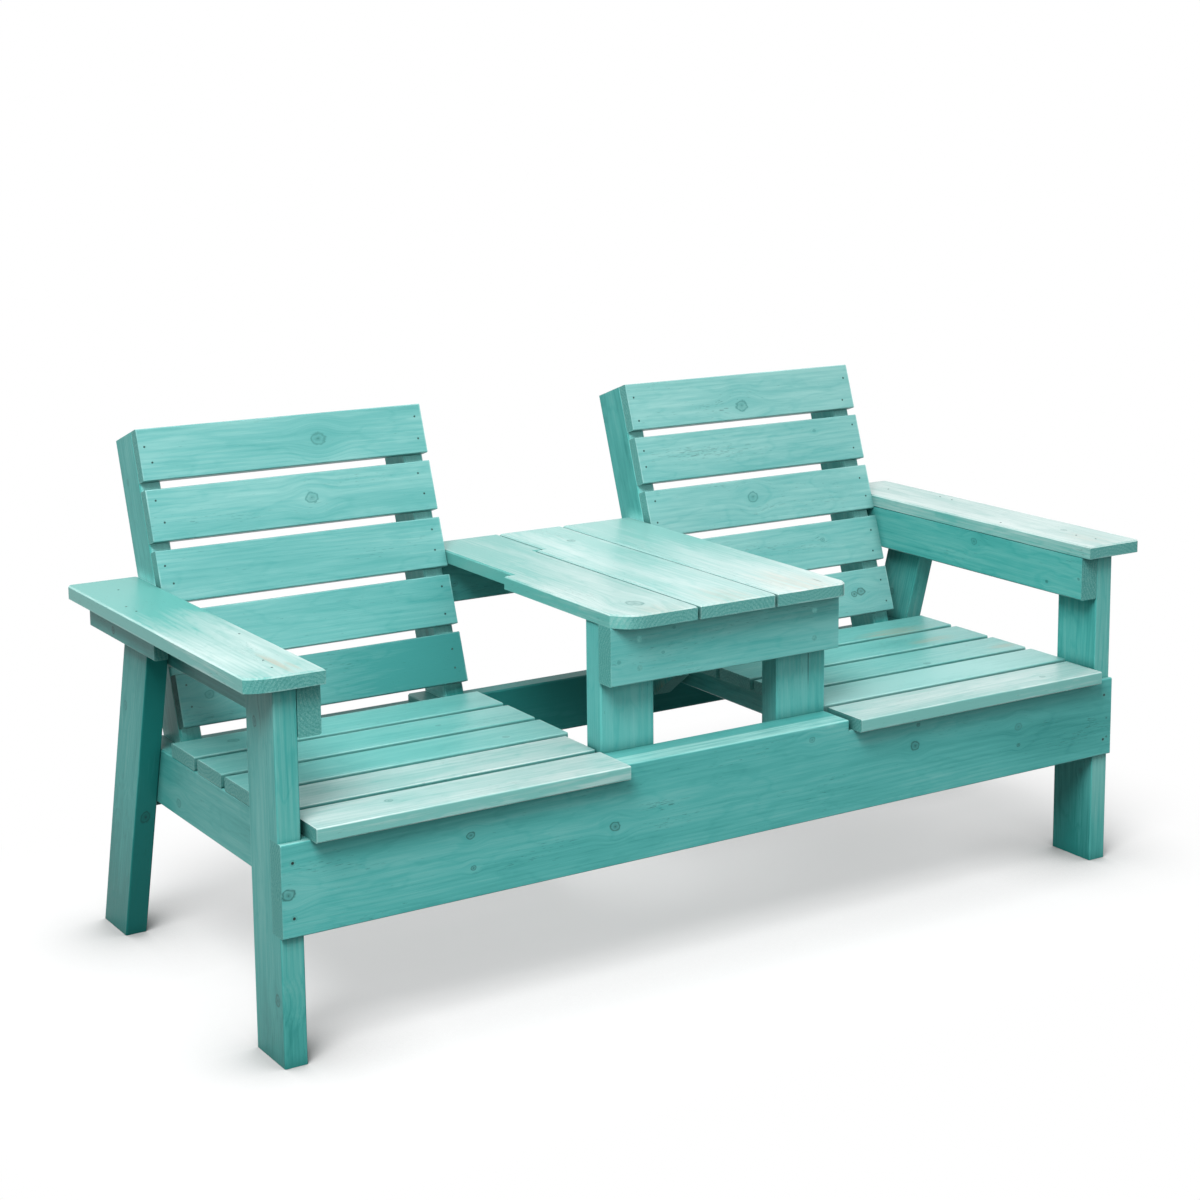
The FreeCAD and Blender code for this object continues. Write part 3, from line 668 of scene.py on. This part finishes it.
def railRecessShade(tree, place):
    # 1 in the recesses of the rail's four screws, where painted shade goes: all four fold onto one by
    # mirroring
    low, high = boxOf("rail_screws", Matrix.Identity(3))
    middle, reach = (low + high) / 2, (high - low) / 2
    head = screwSteel["headRadius"]
    offset = addNode(tree, "VectorMath", {"operation": "SUBTRACT"}, {0: place, 1: middle})
    folded = addNode(tree, "VectorMath", {"operation": "ABSOLUTE"}, {0: offset})
    centre = (reach.x - head, 0, reach.z - head)
    offset = addNode(tree, "VectorMath", {"operation": "SUBTRACT"}, {0: folded, 1: centre})
    flat = addNode(tree, "VectorMath", {"operation": "MULTIPLY"}, {0: offset, 1: (1, 0, 1)})
    distance = addNode(tree, "VectorMath", {"operation": "LENGTH"}, {0: flat}, out=1)
    return addNode(tree, "MapRange", {}, {
        "Value": distance, "From": screwSteel["recessWidth"], "To": (1, 0)})


def screwMaterial(name, dark, light, paintRecessShade=False):
    material, tree = newMaterial(name)
    place = addNode(tree, "TexCoord", out=3)
    grime = addNode(tree, "TexNoise", {}, {"Vector": place, "Scale": screwSteel["grime"], "Detail": 2.0})
    colour = addNode(tree, "ValToRGB", {
        "stops": list(zip(screwSteel["grimeEdges"], (linear(dark), linear(light))))}, {"Fac": grime})
    # painted shade in the recess
    if paintRecessShade:
        recess = railRecessShade(tree, place)
        colour = addNode(tree, "Mix", {"data_type": "RGBA"}, {
            0: recess, 6: colour, 7: linear(screwSteel["recessShadeTint"])}, out=2)
    near = addNode(tree, "AmbientOcclusion", {"samples": 6}, {"Distance": screwSteel["shadow"]}, out=1)
    colour = addNode(tree, "VectorMath", {"operation": "SCALE"}, {0: colour, "Scale": near})
    rough = addNode(tree, "MapRange", {}, {"Value": grime, "To": screwSteel["roughness"]})
    bump = addNode(tree, "Bump", {}, {
        "Height": grime, "Strength": screwSteel["reliefStrength"], "Distance": screwSteel["relief"]})
    surface = addNode(tree, "BsdfPrincipled", {}, {
        "Base Color": colour, "Roughness": rough, "Normal": bump, "Metallic": screwSteel["metallic"]})
    addNode(tree, "OutputMaterial", {}, {"Surface": surface})
    return material


dulledSteel = screwMaterial("dulled_zinc_steel", "#1d4340", "#47706c")
brushedOver = screwMaterial("steel_brushed_over_with_stain", "#4f9a95", "#66aca7")
shadedRecess = screwMaterial("steel_brushed_over_with_painted_shade_in_the_recess", "#3f918c", "#58a8a4", paintRecessShade=True)
for name in nodes:
    if name not in boardNames:
        dress(name, shadedRecess if name.startswith("rail") else brushedOver)


# the small screws in the back slats and armrests
smallScrews = {
    "radius": 0.0018,        # metres
    "proud": 0.0003,         # how far the head stands out of the wood
    "corners": 12,           # of its rim, three to each arm of the cross recess
    "recess": (0.58, 0.24),  # arms and waist of the recess, of the head's radius
    "floor": 0.8,            # its floor, of its mouth
    "fromEnd": 0.018,        # of a slat
    "sideways": 0.019,       # from the middle of a slat
    "slip": 0.008,           # how far a screw can be off its place, driven by eye
    "onArmrest": ((0.785, -0.345), (0.779, -0.301), (0.818, 0.090),
                  (0.820, 0.128), (0.788, 0.249), (0.745, -0.136)),   # metres out and back
}
headRings = ((1.04, -0.5), (1.0, 0.6), (0.86, 1.0))   # radius and height, from the wood to the top


def addHead(shape, place, up, spin):
    # a flat head with a cross recess, from its rim in the wood to the floor of the recess
    corners = smallScrews["corners"]
    side = up.orthogonal().normalized()
    other = up.cross(side)
    arms, waist = smallScrews["recess"]
    cross = [arms if k % 3 == 0 else waist for k in range(corners)]
    outlines = [([reach] * corners, height) for reach, height in headRings]
    outlines += [(cross, 1.0), ([smallScrews["floor"] * r for r in cross], 0.1)]
    rings = []
    for reaches, height in outlines:
        ring = []
        for k, reach in enumerate(reaches):
            angle = spin + 2 * math.pi * k / corners
            outward = math.cos(angle) * side + math.sin(angle) * other
            spot = place + smallScrews["radius"] * reach * outward + smallScrews["proud"] * height * up
            ring.append(shape.verts.new(spot))
        rings.append(ring)
    for outer, inner in zip(rings, rings[1:]):
        for k in range(corners):
            after = (k + 1) % corners
            shape.faces.new((outer[k], outer[after], inner[after], inner[k]))
    shape.faces.new(rings[-1])


def addScrews(name, places):
    dice = random.Random(name)
    mesh = bpy.data.meshes.new(name)
    shape = bmesh.new()
    for place, up in places:
        addHead(shape, place, up, dice.uniform(0, math.pi))
    bmesh.ops.recalc_face_normals(shape, faces=shape.faces)
    shape.to_mesh(mesh)
    shape.free()
    mesh.materials.append(dulledSteel)
    piece = bpy.data.objects.new(name, mesh)
    bpy.context.scene.collection.objects.link(piece)
    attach(piece, "root")


def slatPlaces(start):
    # two screws at each end of every back slat, on its front face
    dice = random.Random(start)
    places = []
    for name in boardNames:
        if not name.startswith(start):
            continue
        turn, middle, half, finish = lieOf(name)
        back = turn.transposed()
        toEnd = half[0] - smallScrews["fromEnd"]
        for end in (-toEnd, toEnd):
            for across in (-smallScrews["sideways"], smallScrews["sideways"]):
                slip = Vector((dice.uniform(-1, 1), dice.uniform(-1, 1), 0)) * smallScrews["slip"]
                places.append((back @ (middle + Vector((end, across, half[2])) + slip), back @ zWay))
    return places


for side, sign in (("left", -1), ("right", 1)):
    addScrews("back_slat_screws_" + side, slatPlaces("back_slat_" + side))
    turn, middle, half, finish = lieOf("armrest_" + side)
    top = (turn.transposed() @ middle).z + half[2]
    places = [Vector((sign * x, y, top)) for x, y in smallScrews["onArmrest"]]
    addScrews("armrest_screws_" + side, [(place, zWay) for place in places])
print("steel on the screws")


studio = {
    "floorRadius": 14,
    "floorDrop": 0.0005,      # below the feet, metres
    "floorTone": 0.46,        # diffuse grey that takes the lamps' shadow
    "floorBounce": 0.12,      # what the floor gives back to the boards above it
    # under the bench and round the feet the camera's white is lowered by occlusion: painted shadow on the
    # floor
    "floorGlow": (0.48, 0.44),  # what the camera is given on top, under the bench and in the open
    "glowReach": 0.7,         # metres, how near the bench must be for that
    "contact": 0.58,          # openness of the floor that reads as fully dark, round the feet
    "contactReach": 0.22,
    "footprint": (0.80, 0.36),  # half length and depth of the floor that keeps its shadow
    "fade": (0.0, 0.45),      # metres from there to plain white
    "ambient": 0.04,          # from the horizon and below
    "overhead": 0.83,         # from straight above, less towards the horizon
    "aim": (0, 0, 0.4),       # what the lamps point at
}
lamps = {   # watts and metres
    "key": {"power": 420, "place": (-3.2, -3.0, 5.3), "size": 3.2},
    "front": {"power": 70, "place": (-0.8, -5.5, 2.2), "size": 4.0},
    # the lit backdrop, which the tops mirror at a low angle
    "back": {"power": 8, "place": (4.2, 5.0, 2.2), "size": 6.0, "height": 3.0},
    # for the backs, which the other lamps leave dark
    "fill": {"power": 70, "place": (-1.5, 5.5, 2.4), "size": 4.0},
}


def seenDirectly(tree):
    # 1 for what the camera, a reflection or glass sees, and 0 for light on the object
    paths = addNode(tree, "LightPath").node.outputs
    seen = paths["Is Camera Ray"]
    for kind in ("Is Glossy Ray", "Is Transmission Ray"):
        seen = addNode(tree, "Math", {"operation": "MAXIMUM"}, {0: seen, 1: paths[kind]})
    return seen


def floorMaterial():
    # matt white paper: shadowed under the bench, and plain white beyond its footprint
    material, tree = newMaterial("white_studio_floor")
    seen = seenDirectly(tree)
    tone = addNode(tree, "MapRange", {}, {
        "Value": seen, "To": (studio["floorBounce"], studio["floorTone"])})
    diffuse = addNode(tree, "BsdfDiffuse", {}, {"Color": tone})
    # painted shadow: the camera's glow falls where the bench is near, and more round the feet
    near = addNode(tree, "AmbientOcclusion", {"samples": 16}, {"Distance": studio["glowReach"]}, out=1)
    glow = addNode(tree, "MapRange", {}, {"Value": near, "To": studio["floorGlow"]})
    touch = addNode(tree, "AmbientOcclusion", {"samples": 16}, {
        "Distance": studio["contactReach"]}, out=1)
    touch = addNode(tree, "MapRange", {}, {"Value": touch, "From": (studio["contact"], 1)})
    glow = addNode(tree, "Math", {"operation": "MULTIPLY"}, {0: glow, 1: touch})
    glow = addNode(tree, "Math", {"operation": "MULTIPLY"}, {0: seen, 1: glow})
    glow = addNode(tree, "Emission", {}, {"Color": grey(1), "Strength": glow})
    lit = addNode(tree, "AddShader", {}, {0: diffuse, 1: glow})

    place = addNode(tree, "TexCoord", out=3)
    spread = addNode(tree, "VectorMath", {"operation": "ABSOLUTE"}, {0: place})
    beyond = addNode(tree, "VectorMath", {"operation": "SUBTRACT"}, {
        0: spread, 1: (*studio["footprint"], 0)})
    beyond = addNode(tree, "VectorMath", {"operation": "MAXIMUM"}, {0: beyond, 1: (0, 0, 0)})
    away = addNode(tree, "VectorMath", {"operation": "LENGTH"}, {0: beyond}, out=1)
    fade = addNode(tree, "MapRange", {"interpolation_type": "SMOOTHSTEP"}, {
        "Value": away, "From": studio["fade"]})
    far = addNode(tree, "Math", {"operation": "MULTIPLY"}, {0: seen, 1: fade})
    white = addNode(tree, "Emission", {}, {"Color": grey(1), "Strength": 1.0})
    paper = addNode(tree, "MixShader", {}, {0: far, 1: lit, 2: white})
    addNode(tree, "OutputMaterial", {}, {"Surface": paper})
    return material


def buildFloor():
    mesh = bpy.data.meshes.new("floor")
    shape = bmesh.new()
    bmesh.ops.create_circle(shape, cap_ends=True, segments=96, radius=studio["floorRadius"])
    shape.to_mesh(mesh)
    shape.free()
    mesh.materials.append(floorMaterial())
    floor = bpy.data.objects.new("floor", mesh)
    bpy.context.scene.collection.objects.link(floor)
    floor.location.z = -studio["floorDrop"]


def buildWorld():
    world = bpy.data.worlds.new("white_studio")
    world.use_nodes = True
    bpy.context.scene.world = world
    tree = world.node_tree
    tree.nodes.clear()
    seen = seenDirectly(tree)
    way = addNode(tree, "SeparateXYZ", {}, {0: addNode(tree, "TexCoord", out=0)}, out=2)
    dome = addNode(tree, "MapRange", {}, {
        "Value": way, "To": (studio["ambient"], studio["ambient"] + studio["overhead"])})
    strength = addNode(tree, "Mix", {}, {0: seen, 2: dome, 3: 1.0})
    light = addNode(tree, "Background", {}, {"Color": grey(1), "Strength": strength})
    addNode(tree, "OutputWorld", {}, {"Surface": light})


def addLamp(name, facts):
    light = bpy.data.lights.new(name, "AREA")
    light.shape, light.size, light.energy = "DISK", facts["size"], facts["power"]
    if "height" in facts:
        light.shape, light.size_y = "RECTANGLE", facts["height"]
    lamp = bpy.data.objects.new(name, light)
    lamp.location = facts["place"]
    lamp.rotation_euler = (Vector(studio["aim"]) - lamp.location).to_track_quat("-Z", "Y").to_euler()
    bpy.context.scene.collection.objects.link(lamp)


buildFloor()
buildWorld()
for name, facts in lamps.items():
    addLamp(name, facts)
bpy.context.scene.view_settings.view_transform = "Standard"
print("studio ready")


view = {
    "place": (-2.06304, -3.31877, 1.41885),
    "pitch": 9.685,      # degrees below level
    "turn": 34.70,       # degrees to the right of +Y
    "lens": 70.04,       # mm
    "sensor": 36,        # mm
    "shift": (-0.1089, -0.1161),
}
camera = bpy.data.objects.new("camera", bpy.data.cameras.new("camera"))
bpy.context.scene.collection.objects.link(camera)
camera.location = view["place"]
camera.rotation_euler = (math.radians(90 - view["pitch"]), 0, math.radians(-view["turn"]))
camera.data.lens = view["lens"]
camera.data.sensor_width = view["sensor"]
camera.data.shift_x, camera.data.shift_y = view["shift"]
bpy.context.scene.camera = camera
print("camera set")
